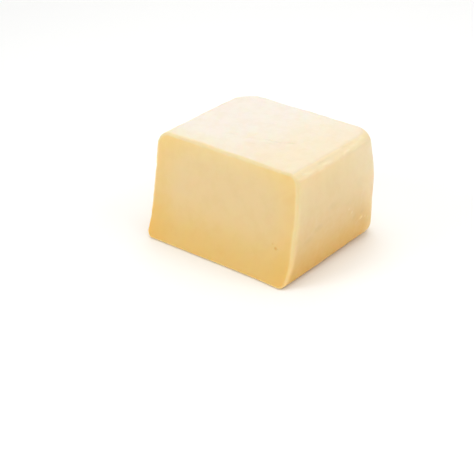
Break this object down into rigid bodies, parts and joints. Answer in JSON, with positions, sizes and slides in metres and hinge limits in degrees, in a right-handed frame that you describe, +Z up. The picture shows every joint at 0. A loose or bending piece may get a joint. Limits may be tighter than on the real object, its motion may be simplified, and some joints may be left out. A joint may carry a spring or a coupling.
{
  "type": "block of mozzarella",
  "caption": "End block of a firm, low-moisture mozzarella loaf: rounded moulded sides, top and far end, flat base, and a slightly leaning knife-cut face.",
  "frame": {"origin": "middle of the block's footprint, on the surface that it rests on", "axes": "+Z up, +Y along the loaf from the knife-cut face towards the moulded far end, +X across the loaf to the right when looking along +Y"},
  "size_m": [0.1324, 0.1202, 0.0821],
  "materials": {
    "cheese": "waxy, softly translucent, pale cream yellow"
  },
  "bodies": {
    "root": {"mozzarella": "cheese"}
  },
  "joints": []
}
